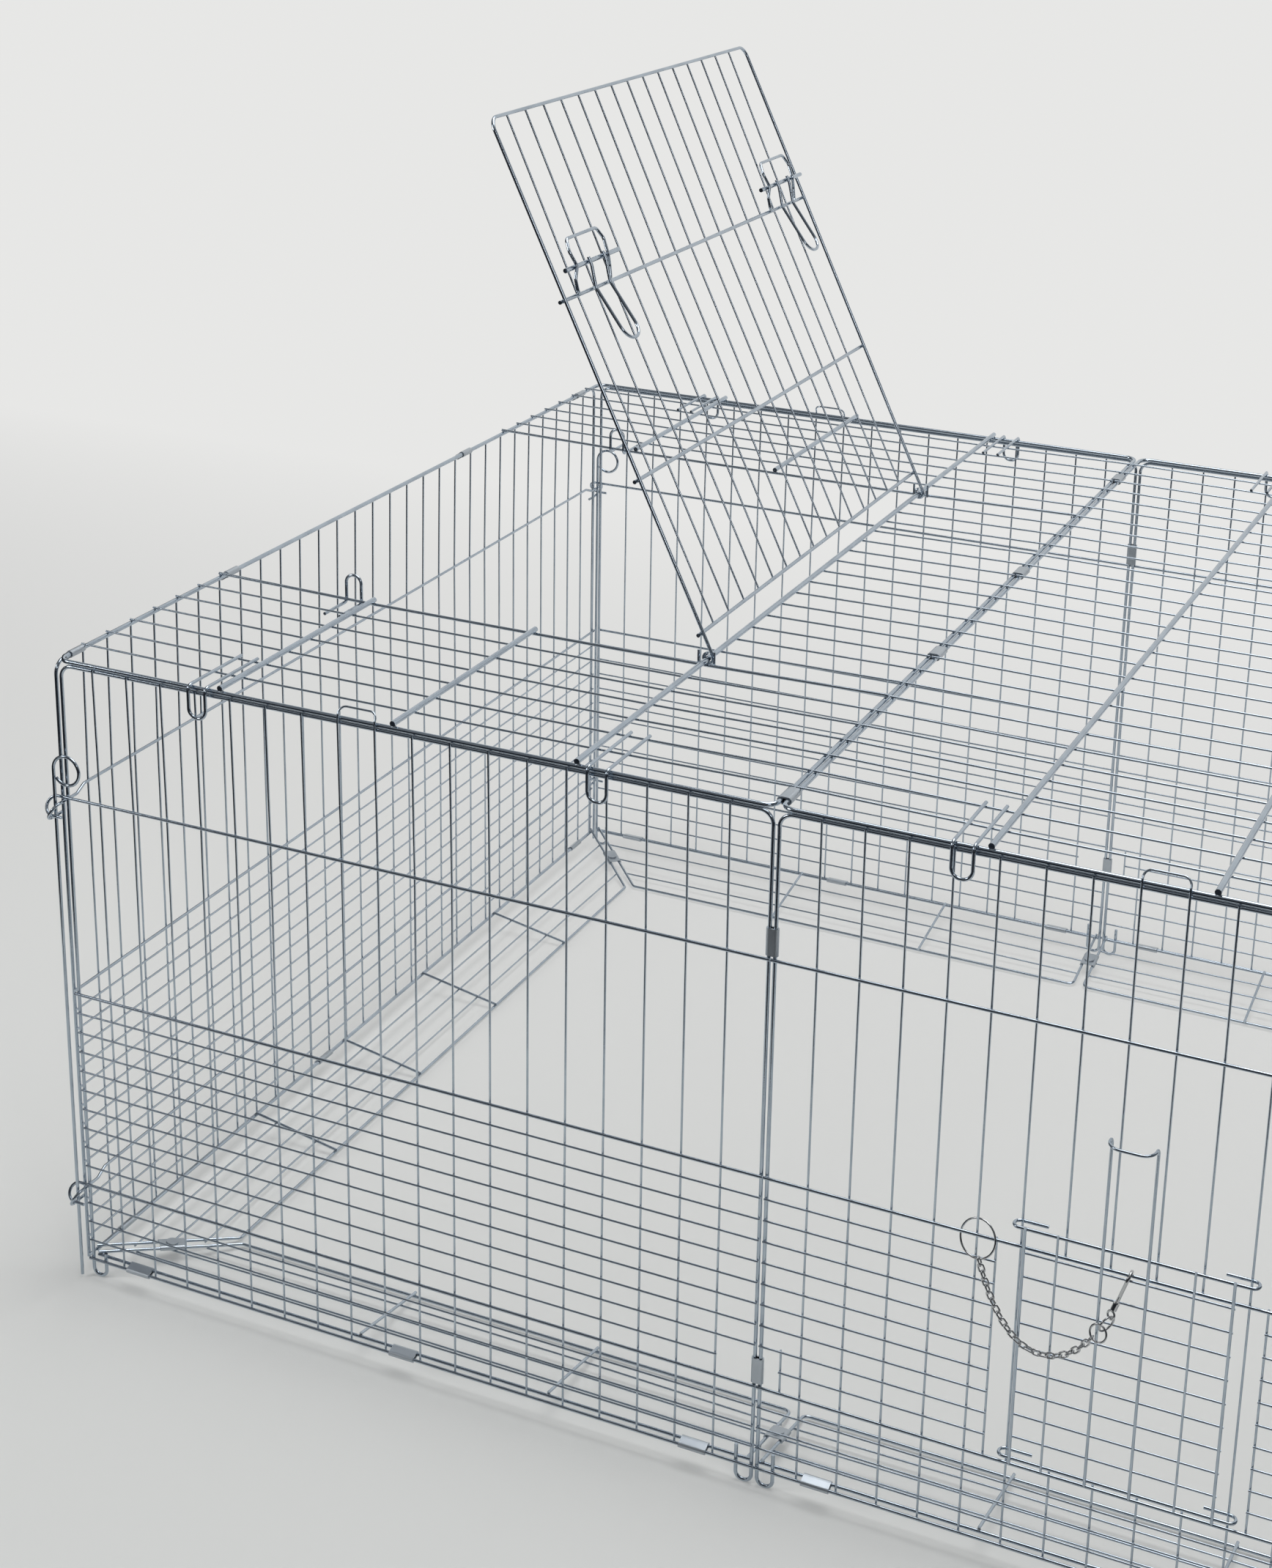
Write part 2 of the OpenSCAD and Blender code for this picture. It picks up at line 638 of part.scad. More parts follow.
// A skirt panel with its outer rod along X from x0 to x1. Each end is mitred (1) or
// square (0), so the inner rod is shorter by the skirt's width at a mitred end.
module skirt_panel(x0, x1, miter0, miter1, crosses) {
  a = x0 + miter0 * skirt_w;
  b = x1 - miter1 * skirt_w;
  lift = skirt_d + weld;
  cross_lift = (skirt_d + rail_d) / 2 + weld;
  step = (b - a) / (crosses + 1);
  rotate([-skirt_tilt, 0, 0]) {
    rod([x0 - 3, 0, 0], [x1 + 3, 0, 0], skirt_d);
    wire([[x0 - 2 * miter0, -2, lift], [a, skirt_len, lift], [b, skirt_len, lift],
        [x1 + 2 * miter1, -2, lift]], skirt_d, 7, hairline);
    for (i = [1 : crosses])
      rod([a + i * step, 0, cross_lift], [a + i * step, skirt_len + 2.5, cross_lift * 2 + 0.2],
        rail_d);
    for (k = [1 : 3]) {
      t = k / 4;
      low = lift - (skirt_d + thin_d) / 2 - weld;
      high = cross_lift * (1 + t) - (rail_d + thin_d) / 2 - 0.05;
      y = skirt_len * t;
      left = x0 + miter0 * skirt_w * t - 1;
      right = x1 - miter1 * skirt_w * t + 1;
      rod([left, y, low], [a + step - hairline, y, high], thin_d);
      rod([a + step + hairline, y, high], [b - step - hairline, y, high], thin_d);
      rod([b - step + hairline, y, high], [right, y, low], thin_d);
    }
  }
}

module long_skirt(right, back) {
  color(zinc) place(right, back) translate([0, -half_d + long_skirt_y, skirt_z])
    skirt_panel(-half_w + end_skirt_x, -strut_gap / 2, 1, 0, 2);
}

module end_skirt(right) {
  y0 = half_d - corner_clear;
  color(zinc) mirror([right ? 1 : 0, 0, 0])
    translate([-half_w - corner_x + end_skirt_x, 0, skirt_z]) rotate([0, 0, -90])
      skirt_panel(-y0, y0, 1, 1, 4);
}

module skirt_front_left() { long_skirt(false, false); }
module skirt_front_right() { long_skirt(true, false); }
module skirt_back_left() { long_skirt(false, true); }
module skirt_back_right() { long_skirt(true, true); }
module skirt_left() { end_skirt(false); }
module skirt_right() { end_skirt(true); }

module skirt_clips() {
  ra = rail_d / 2 + 0.15;
  rb = skirt_d / 2 + 0.15;
  color(steel) {
    for (right = [0, 1])
      for (back = [0, 1])
        place(right == 1, back == 1)
          for (k = [1.5, 9.5, 17.5])
            translate([-half_w + k * wire_pitch, -half_d, 0]) rotate([0, 0, 90])
              sleeve([-rail_y, foot_height], [long_skirt_y, skirt_z], ra, rb, 26);
    for (right = [0, 1])
      mirror([right, 0, 0])
        for (k = [1.5, 11.5, 28.5])
          translate([-half_w - corner_x, -half_d + corner_y + k * wire_pitch, 0])
            sleeve([rail_y, foot_height], [end_skirt_x, skirt_z], ra, rb, 26);
  }
}

// A sheet plate over two struts, its edges rolled down round them, with a rivet boss.
module strut_plate(half_gap, length) {
  r = skirt_d / 2 + 0.15;
  outer = r + 1.1;
  rotate([90, 0, 0]) linear_extrude(length, center = true) difference() {
    union() {
      for (side = [-1, 1]) translate([side * half_gap, 0]) circle(r = outer);
      translate([-half_gap, 0]) square([2 * half_gap, outer]);
    }
    for (side = [-1, 1]) translate([side * half_gap, 0]) circle(r = r);
    translate([-half_gap, -outer]) square([2 * half_gap, outer + r]);
    translate([-half_gap - outer, -outer]) square([2 * (half_gap + outer), outer - 1.4]);
  }
  translate([0, 0, r + 0.4]) cylinder(h = 2.2, d = 12);
}

module skirt_plates() {
  // middle of a strut, inwards and up from the outer rod of its skirt
  lift = skirt_d + weld;
  mid_in = skirt_len / 2 * cos(skirt_tilt) + lift * sin(skirt_tilt);
  mid_up = lift * cos(skirt_tilt) - skirt_len / 2 * sin(skirt_tilt);
  from_front = -half_d + long_skirt_y;
  from_left = -half_w - corner_x + end_skirt_x;
  long_mid = [-half_w + end_skirt_x + skirt_w / 2, from_front + mid_in];
  end_mid = [from_left + mid_in, -half_d + corner_clear + skirt_w / 2];
  middle = (long_mid + end_mid) / 2;
  diagonal_tilt = atan(skirt_drop / skirt_w * cos(45));
  color(steel) for (back = [false, true]) {
    place(false, back) translate([0, from_front + mid_in, skirt_z + mid_up])
      rotate([-skirt_tilt, 0, 0]) strut_plate(strut_gap / 2, 22);
    for (right = [false, true])
      place(right, back) translate([middle[0], middle[1], skirt_z + mid_up])
        rotate([-diagonal_tilt, 0, -45]) strut_plate(norm(long_mid - end_mid) / 2, 26);
  }
}

// ---- safety chain ----

// Turns what is drawn along +Z to run at an angle above +X in the plane of the door.
module along(p, angle, roll) {
  translate(p) rotate([0, 90 - angle, 0]) rotate([0, 0, roll]) children();
}

module ring(r, d) {
  rotate([90, 0, 0]) rotate_extrude() translate([r, 0]) circle(d = d);
}

module chain_link() {
  straight = link_half - link_side;
  for (end = [0, 1]) mirror([0, 0, end]) translate([0, 0, straight]) rotate([90, 0, 0])
    rotate_extrude(angle = 180) translate([link_side, 0]) circle(d = link_d);
  for (side = [-1, 1])
    translate([side * link_side, 0, -straight]) cylinder(h = 2 * straight, d = link_d);
}

// Point of the hanging chain at distance s from its lowest point.
function hang(s) = [chain_low[0] + sag * ln(s / sag + sqrt(pow(s / sag, 2) + 1)),
  chain_y - chain_lean * max(0, 1 - (s - chain_s) / lean_s),
  chain_low[1] + sqrt(sag * sag + s * s) - sag];

module split_ring() {
  color(steel) translate(split_centre) rotate([-17, 0, 0]) rotate([0, 0, -14])
    ring(split_r, ring_d);
}

module chain() {
  color(steel) for (k = [0 : links - 1]) {
    s = chain_s + link_reach + k * link_step;
    along(hang(s), atan(s / sag), 90 * (k + 1)) chain_link();
  }
}

module chain_rings() {
  color(steel) {
    along(ring_a, ring_angle, 160) ring(ring_r, ring_d);
    along(ring_b, hook_angle, 60) ring(ring_r, ring_d);
  }
}

// Snap hook over the wall's middle rail and the door's top row, with its gate behind.
module snap_hook() {
  color(steel) along(hook_eye, hook_angle, 0) {
    rotate([0, 0, 150]) ring(eye_ring_r, ring_d);
    translate([0, 0.5, 0]) rotate([-11, 0, 0]) {
      translate([0, 0, 4.6]) cylinder(h = 5, d = 5.4);
      translate([0, 0, 9.7]) cylinder(h = 1.4, d = 5.7);
    }
    wire([[0, 2.6, 11.2], [0, 3.2, 18], [0, 3.2, 38.9], [0, 15, 38.9], [0, 15, 30]],
      3, [10, 5.85, 5.85], hairline);
    rod([0, 15, 29.9], [0, 5.4, 14], 2);
  }
}

wall_front_left();
wall_front_right();
wall_back_left();
wall_back_right();
wall_left();
wall_right();
roof_left();
roof_right();
roof_flap();
flap_bolt_guides();
flap_bolt_front();
flap_bolt_back();
sliding_door();
corner_pin_front_left();
corner_pin_front_right();
corner_pin_back_left();
corner_pin_back_right();
wall_joint_clips();
roof_joint_clips();
roof_edge_clips();
skirt_front_left();
skirt_front_right();
skirt_back_left();
skirt_back_right();
skirt_left();
skirt_right();
skirt_clips();
skirt_plates();
split_ring();
chain();
chain_rings();
snap_hook();
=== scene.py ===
"""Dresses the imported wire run: plated wire, spot welds, polished chain and a studio.

Every shape that carries load comes from the CAD frame. This script gives each wire its
finish, adds the small beads that a spot welder leaves at each crossing, and lights the
run on a pale sweep.
"""

import json
import logging
import math
from dataclasses import dataclass, field
from enum import Enum
from typing import Iterator, Sequence

import bmesh
import bpy
import numpy as np
from mathutils import Matrix, Quaternion, Vector

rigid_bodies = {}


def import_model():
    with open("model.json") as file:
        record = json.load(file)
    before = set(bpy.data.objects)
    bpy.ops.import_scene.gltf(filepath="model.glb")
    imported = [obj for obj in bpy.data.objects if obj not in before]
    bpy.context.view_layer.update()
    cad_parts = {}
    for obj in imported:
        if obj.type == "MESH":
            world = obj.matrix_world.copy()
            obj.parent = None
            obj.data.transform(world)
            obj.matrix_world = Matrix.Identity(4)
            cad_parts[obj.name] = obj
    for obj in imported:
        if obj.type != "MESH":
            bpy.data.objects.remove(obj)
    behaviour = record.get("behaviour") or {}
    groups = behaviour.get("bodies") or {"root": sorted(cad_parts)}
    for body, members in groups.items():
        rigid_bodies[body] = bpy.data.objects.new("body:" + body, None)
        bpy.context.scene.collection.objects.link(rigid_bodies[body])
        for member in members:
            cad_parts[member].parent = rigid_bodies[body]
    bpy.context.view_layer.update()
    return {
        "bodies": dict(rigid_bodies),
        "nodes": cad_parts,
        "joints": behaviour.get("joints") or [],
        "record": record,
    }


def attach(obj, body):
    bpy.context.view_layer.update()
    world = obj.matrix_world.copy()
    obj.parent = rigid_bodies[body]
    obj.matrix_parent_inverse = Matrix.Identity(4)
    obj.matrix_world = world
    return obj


log = logging.getLogger("run")

Colour = tuple[float, float, float]
Point = tuple[float, float, float]

MM = 0.001


# ---- finishes ----


@dataclass(frozen=True)
class Finish:
    """The look of one plated metal.

    Attributes:
        colour: Base colour, linear RGB.
        shade: Darker colour that drifts through the plating, linear RGB.
        roughness: Mean roughness of the surface.
        drift: How much the roughness wanders, 0 to 1.
        grain: Cells of the plating's grain per metre.
        depth: Strength of the grain's bump, 0 to 1.
    """

    colour: Colour
    shade: Colour
    roughness: float
    drift: float
    grain: float
    depth: float


class Metal(Enum):
    """The metals of the run, named for their material."""

    ZINC_WIRE = Finish(
        colour=(0.54, 0.61, 0.68),
        shade=(0.32, 0.37, 0.43),
        roughness=0.12,
        drift=0.14,
        grain=900.0,
        depth=0.08,
    )
    WELD = Finish(
        colour=(0.36, 0.40, 0.44),
        shade=(0.20, 0.225, 0.25),
        roughness=0.36,
        drift=0.25,
        grain=1500.0,
        depth=0.35,
    )
    CLIP_SHEET = Finish(
        colour=(0.52, 0.56, 0.60),
        shade=(0.36, 0.40, 0.44),
        roughness=0.36,
        drift=0.15,
        grain=500.0,
        depth=0.08,
    )
    CHAIN_NICKEL = Finish(
        colour=(0.62, 0.63, 0.64),
        shade=(0.40, 0.41, 0.42),
        roughness=0.10,
        drift=0.10,
        grain=700.0,
        depth=0.05,
    )


class PlatedMetal:
    """Builds the shared plating effect and one material for each metal."""

    GROUP = "Plated metal"
    SOCKETS = (
        ("Colour", "NodeSocketColor"),
        ("Shade", "NodeSocketColor"),
        ("Roughness", "NodeSocketFloat"),
        ("Drift", "NodeSocketFloat"),
        ("Grain", "NodeSocketFloat"),
        ("Depth", "NodeSocketFloat"),
    )
    RESULTS = (
        ("Colour", "NodeSocketColor"),
        ("Roughness", "NodeSocketFloat"),
        ("Normal", "NodeSocketVector"),
    )
    # Clouds of the plating per metre, and how finely they and the grain break up.
    CLOUDS = 38.0
    CLOUD_DETAIL = 3.0
    GRAIN_DETAIL = 2.0
    # Height of the grain at full depth.
    GRAIN_HEIGHT = 0.4 * MM
    # Edges that turn by more degrees than this stay crisp.
    CRISP_EDGE = 35.0

    def __init__(self) -> None:
        """Makes the node group and all materials."""
        self.group = self._make_group()
        self.materials = {metal: self._make_material(metal) for metal in Metal}

    def _make_group(self) -> bpy.types.ShaderNodeTree:
        """Makes the node group: cloudy colour and roughness, and a fine grain.

        Returns:
            The group, with one input for each value of a Finish.
        """
        group = bpy.data.node_groups.new(self.GROUP, "ShaderNodeTree")
        for name, kind in self.SOCKETS:
            group.interface.new_socket(name=name, in_out="INPUT", socket_type=kind)
        for name, kind in self.RESULTS:
            group.interface.new_socket(name=name, in_out="OUTPUT", socket_type=kind)
        nodes, links = group.nodes, group.links
        given = nodes.new("NodeGroupInput")
        result = nodes.new("NodeGroupOutput")
        place = nodes.new("ShaderNodeTexCoord")

        cloud = nodes.new("ShaderNodeTexNoise")
        cloud.inputs["Scale"].default_value = self.CLOUDS
        cloud.inputs["Detail"].default_value = self.CLOUD_DETAIL
        links.new(place.outputs["Object"], cloud.inputs["Vector"])

        grain = nodes.new("ShaderNodeTexNoise")
        grain.inputs["Detail"].default_value = self.GRAIN_DETAIL
        links.new(place.outputs["Object"], grain.inputs["Vector"])
        links.new(given.outputs["Grain"], grain.inputs["Scale"])

        tint = nodes.new("ShaderNodeMix")
        tint.data_type = "RGBA"
        links.new(cloud.outputs["Fac"], tint.inputs["Factor"])
        links.new(given.outputs["Colour"], tint.inputs["A"])
        links.new(given.outputs["Shade"], tint.inputs["B"])

        # The cloud's values lie round a half, so that much is taken off before they
        # move the roughness up and down.
        centred = nodes.new("ShaderNodeMath")
        centred.operation = "SUBTRACT"
        centred.inputs[1].default_value = 0.5
        links.new(cloud.outputs["Fac"], centred.inputs[0])

        wander = nodes.new("ShaderNodeMath")
        wander.operation = "MULTIPLY_ADD"
        wander.use_clamp = True
        links.new(centred.outputs[0], wander.inputs[0])
        links.new(given.outputs["Drift"], wander.inputs[1])
        links.new(given.outputs["Roughness"], wander.inputs[2])

        bump = nodes.new("ShaderNodeBump")
        bump.inputs["Distance"].default_value = self.GRAIN_HEIGHT
        links.new(given.outputs["Depth"], bump.inputs["Strength"])
        links.new(grain.outputs["Fac"], bump.inputs["Height"])

        links.new(tint.outputs["Result"], result.inputs["Colour"])
        links.new(wander.outputs[0], result.inputs["Roughness"])
        links.new(bump.outputs["Normal"], result.inputs["Normal"])
        return group

    def _make_material(self, metal: Metal) -> bpy.types.Material:
        """Makes one metal's material from the shared group.

        Args:
            metal: The metal to make.

        Returns:
            The material, named after the metal.
        """
        finish = metal.value
        material = bpy.data.materials.new(metal.name.lower())
        material.use_nodes = True
        nodes, links = material.node_tree.nodes, material.node_tree.links
        nodes.clear()
        plating = nodes.new("ShaderNodeGroup")
        plating.node_tree = self.group
        values = {
            "Colour": (*finish.colour, 1.0),
            "Shade": (*finish.shade, 1.0),
            "Roughness": finish.roughness,
            "Drift": finish.drift,
            "Grain": finish.grain,
            "Depth": finish.depth,
        }
        for name, value in values.items():
            plating.inputs[name].default_value = value
        surface = nodes.new("ShaderNodeBsdfPrincipled")
        surface.inputs["Metallic"].default_value = 1.0
        links.new(plating.outputs["Colour"], surface.inputs["Base Color"])
        links.new(plating.outputs["Roughness"], surface.inputs["Roughness"])
        links.new(plating.outputs["Normal"], surface.inputs["Normal"])
        output = nodes.new("ShaderNodeOutputMaterial")
        links.new(surface.outputs["BSDF"], output.inputs["Surface"])
        return material

    def dress(self, thing: bpy.types.Object, metal: Metal) -> None:
        """Gives an object one metal and smooth sides with crisp cut ends.

        Args:
            thing: A mesh object.
            metal: The metal it is made of.
        """
        thing.data.materials.clear()
        thing.data.materials.append(self.materials[metal])
        thing.data.shade_smooth()
        thing.data.set_sharp_from_angle(angle=math.radians(self.CRISP_EDGE))


# ---- wires read back from the frame ----


@dataclass(frozen=True)
class StraightWire:
    """A straight run of wire found in a CAD node.

    Attributes:
        start: One end of its centre line, in metres.
        end: The other end.
        radius: Radius of the wire.
    """

    start: Vector
    end: Vector
    radius: float

    @property
    def way(self) -> Vector:
        """Unit vector from start to end."""
        return (self.end - self.start).normalized()

    @property
    def length(self) -> float:
        """Distance from start to end."""
        return (self.end - self.start).length


@dataclass(frozen=True)
class WireReader:
    """Finds the straight wires of a CAD node, each of which is a loose part of its mesh.

    Attributes:
        mesh: The node's mesh.
        shortest: Shorter parts are bends or stubs and carry no weld.
        thickest: Parts that reach further from their own axis are no straight wires.
        same: Points that are closer than this are one point.
    """

    mesh: bpy.types.Mesh
    shortest: float = 9 * MM
    thickest: float = 3.2 * MM
    same: float = 0.001 * MM

    def loose_parts(self) -> Iterator[np.ndarray]:
        """Finds the loose parts of the mesh, whose triangles don't share their corners.

        Yields:
            The corner points of one part.
        """
        points = np.array([v.co for v in self.mesh.vertices], float)
        keys = np.round(points / self.same).astype(int)
        _, merged = np.unique(keys, axis=0, return_inverse=True)
        owner = merged.reshape(-1)
        edges = owner[np.array([e.vertices for e in self.mesh.edges], int)]
        # Each point takes the lowest label that an edge brings to it, until none changes.
        label = np.arange(owner.max() + 1)
        changed = True
        while changed:
            low = np.minimum(label[edges[:, 0]], label[edges[:, 1]])
            before = label.copy()
            np.minimum.at(label, edges[:, 0], low)
            np.minimum.at(label, edges[:, 1], low)
            label = label[label]
            changed = bool((label != before).any())
        part = label[owner]
        for name in np.unique(part):
            yield points[part == name]

    def straight_wires(self) -> list[StraightWire]:
        """Measures each loose part and keeps the plain straight rods.

        Returns:
            The straight wires.
        """
        found = []
        for cloud in self.loose_parts():
            centre = cloud.mean(0)
            _, _, axes = np.linalg.svd(cloud - centre, full_matrices=False)
            along = (cloud - centre) @ axes[0]
            off = np.linalg.norm((cloud - centre) - np.outer(along, axes[0]), axis=1)
            length = float(along.max() - along.min())
            radius = float(off.max())
            if length > self.shortest and radius < self.thickest:
                ends = [Vector(centre + axes[0] * t) for t in (along.min(), along.max())]
                found.append(StraightWire(ends[0], ends[1], radius))
        return found


# ---- spot welds ----


@dataclass(frozen=True)
class Spot:
    """The place of one bead.

    Attributes:
        point: Where it sits, on the skin of the first of two crossing wires.
        way: Heading of that wire.
        normal: Unit vector square to both wires.
        radius: Radius of the thinner wire.
    """

    point: Vector
    way: Vector
    normal: Vector
    radius: float


@dataclass
class SpotWelds:
    """The beads at the crossings of one node's wires.

    Attributes:
        node: Name of the CAD node.
        body: Name of the body that carries it.
        reach: Largest gap between two wires that a weld closes.
        overrun: How far past the end of a wire a weld may lie.
        least_turn: Sine of the smallest angle at which two wires cross.
        least_gap: Smallest distance between their centre lines, in both radii together.
        spread: Half width of a bead, in radii of the thinner wire.
        rise: Half height of a bead, in radii of the thinner wire.
        spots: The places found so far.
    """

    node: str
    body: str
    reach: float = 0.25 * MM
    overrun: float = 1.0 * MM
    least_turn: float = 0.5
    least_gap: float = 0.6
    spread: float = 1.25
    rise: float = 0.55
    spots: list[Spot] = field(default_factory=list)

    def find(self, wires: Sequence[StraightWire]) -> None:
        """Collects each place where two wires of different heading touch.

        Args:
            wires: The straight wires of the node.
        """
        for i, one in enumerate(wires):
            for other in wires[i + 1 :]:
                spot = self._touch(one, other)
                if spot:
                    self.spots.append(spot)

    def _touch(self, one: StraightWire, other: StraightWire) -> Spot | None:
        """Finds where two crossing wires touch.

        Args:
            one: The wire that the bead sits on.
            other: The wire that crosses it.

        Returns:
            The place of the bead, or None where they don't touch.
        """
        across = one.way.cross(other.way)
        if across.length < self.least_turn:
            return None
        normal = across.normalized()
        between = other.start - one.start
        gap = between.dot(normal)
        if abs(gap) > one.radius + other.radius + self.reach:
            return None
        if abs(gap) < self.least_gap * (one.radius + other.radius):
            return None
        level = between - normal * gap
        along_one = level.cross(other.way).dot(across) / across.length_squared
        along_other = level.cross(one.way).dot(across) / across.length_squared
        if not -self.overrun <= along_one <= one.length + self.overrun:
            return None
        if not -self.overrun <= along_other <= other.length + self.overrun:
            return None
        side = 1.0 if gap > 0 else -1.0
        point = one.start + one.way * along_one + normal * side * one.radius
        return Spot(point, one.way, normal, min(one.radius, other.radius))

    def build(self) -> bpy.types.Object | None:
        """Makes one mesh of all beads.

        Returns:
            The object, or None where the node has no crossing.
        """
        if not self.spots:
            return None
        shape = bmesh.new()
        for spot in self.spots:
            side = spot.normal.cross(spot.way).normalized()
            turn = Matrix((spot.way, side, spot.normal)).transposed().to_4x4()
            wide, high = spot.radius * self.spread, spot.radius * self.rise
            size = Matrix.Diagonal((wide, wide, high, 1.0))
            bmesh.ops.create_icosphere(
                shape,
                subdivisions=1,
                radius=1.0,
                matrix=Matrix.Translation(spot.point) @ turn @ size,
            )
        mesh = bpy.data.meshes.new(f"{self.node}_welds")
        shape.to_mesh(mesh)
        shape.free()
        beads = bpy.data.objects.new(f"{self.node}_welds", mesh)
        bpy.context.scene.collection.objects.link(beads)
        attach(beads, self.body)
        return beads


# ---- the run ----


@dataclass(frozen=True)
class SubAssembly:
    """A named group of CAD nodes that share one metal.

    Attributes:
        title: What the group is called in the log.
        starts: Beginnings of the names of its nodes.
        metal: Its metal.
        welded: Whether its wires are welded at their crossings.
    """

    title: str
    starts: tuple[str, ...]
    metal: Metal
    welded: bool

    def nodes(self, names: Sequence[str]) -> list[str]:
        """Returns the names that belong to this group."""
        return [name for name in names if name.startswith(self.starts)]


class WireRun:
    """The whole run: its sub-assemblies, their finishes and their welds."""

    # A node joins the first group that one of its beginnings fits, so the clips come
    # before the walls, the roof and the skirt.
    GROUPS = (
        SubAssembly("clips", ("wall_joint", "roof_joint", "roof_edge"), Metal.CLIP_SHEET, False),
        SubAssembly("skirt hardware", ("skirt_clips", "skirt_plates"), Metal.CLIP_SHEET, False),
        SubAssembly("safety chain", ("split", "chain", "snap"), Metal.CHAIN_NICKEL, False),
        SubAssembly("walls", ("wall_",), Metal.ZINC_WIRE, True),
        SubAssembly("roof", ("roof_",), Metal.ZINC_WIRE, True),
        SubAssembly("skirt", ("skirt_",), Metal.ZINC_WIRE, True),
        SubAssembly("sliding door", ("sliding_door",), Metal.ZINC_WIRE, True),
        SubAssembly("bolts", ("flap_bolt",), Metal.ZINC_WIRE, True),
        SubAssembly("corner pins", ("corner_pin",), Metal.ZINC_WIRE, False),
    )

    def __init__(self, frame: dict) -> None:
        """Makes the finishes and notes which body carries each node.

        Args:
            frame: The loaded frame.
        """
        self.frame = frame
        self.plating = PlatedMetal()
        bodies = frame["record"]["behaviour"]["bodies"]
        self.body_of = {node: body for body, nodes in bodies.items() for node in nodes}

    def dress(self) -> None:
        """Gives every node its metal, and welds where wires cross."""
        left = sorted(self.frame["nodes"])
        for group in self.GROUPS:
            mine = group.nodes(left)
            left = [name for name in left if name not in mine]
            for name in mine:
                node = self.frame["nodes"][name]
                self.plating.dress(node, group.metal)
                if group.welded:
                    self._weld(name, node)
            log.info("%s: %d nodes", group.title, len(mine))
        if left:
            log.warning("nodes with no finish: %s", left)

    def _weld(self, name: str, node: bpy.types.Object) -> None:
        """Adds the beads of one node.

        Args:
            name: Name of the node.
            node: Its object.
        """
        welds = SpotWelds(name, self.body_of[name])
        welds.find(WireReader(node.data).straight_wires())
        beads = welds.build()
        if beads:
            self.plating.dress(beads, Metal.WELD)
        log.info("%s: %d welds", name, len(welds.spots))


# ---- studio ----


BACKDROP_COLOUR = (0.80, 0.80, 0.79)


def draw_out(name: str, line: Sequence[Point], push: Point) -> bpy.types.Object:
    """Draws a line out into a sheet and puts it in the scene.

    Args:
        name: Name of the object and of its mesh.
        line: The corners of the line, in order.
        push: How far and which way it is drawn.

    Returns:
        The sheet.
    """
    shape = bmesh.new()
    corners = [shape.verts.new(place) for place in line]
    edges = [shape.edges.new(pair) for pair in zip(corners, corners[1:])]
    bmesh.ops.extrude_edge_only(shape, edges=edges)
    drawn = [v for v in shape.verts if v not in corners]
    bmesh.ops.translate(shape, verts=drawn, vec=push)
    bmesh.ops.recalc_face_normals(shape, faces=shape.faces)
    mesh = bpy.data.meshes.new(name)
    shape.to_mesh(mesh)
    shape.free()
    sheet = bpy.data.objects.new(name, mesh)
    bpy.context.scene.collection.objects.link(sheet)
    return sheet


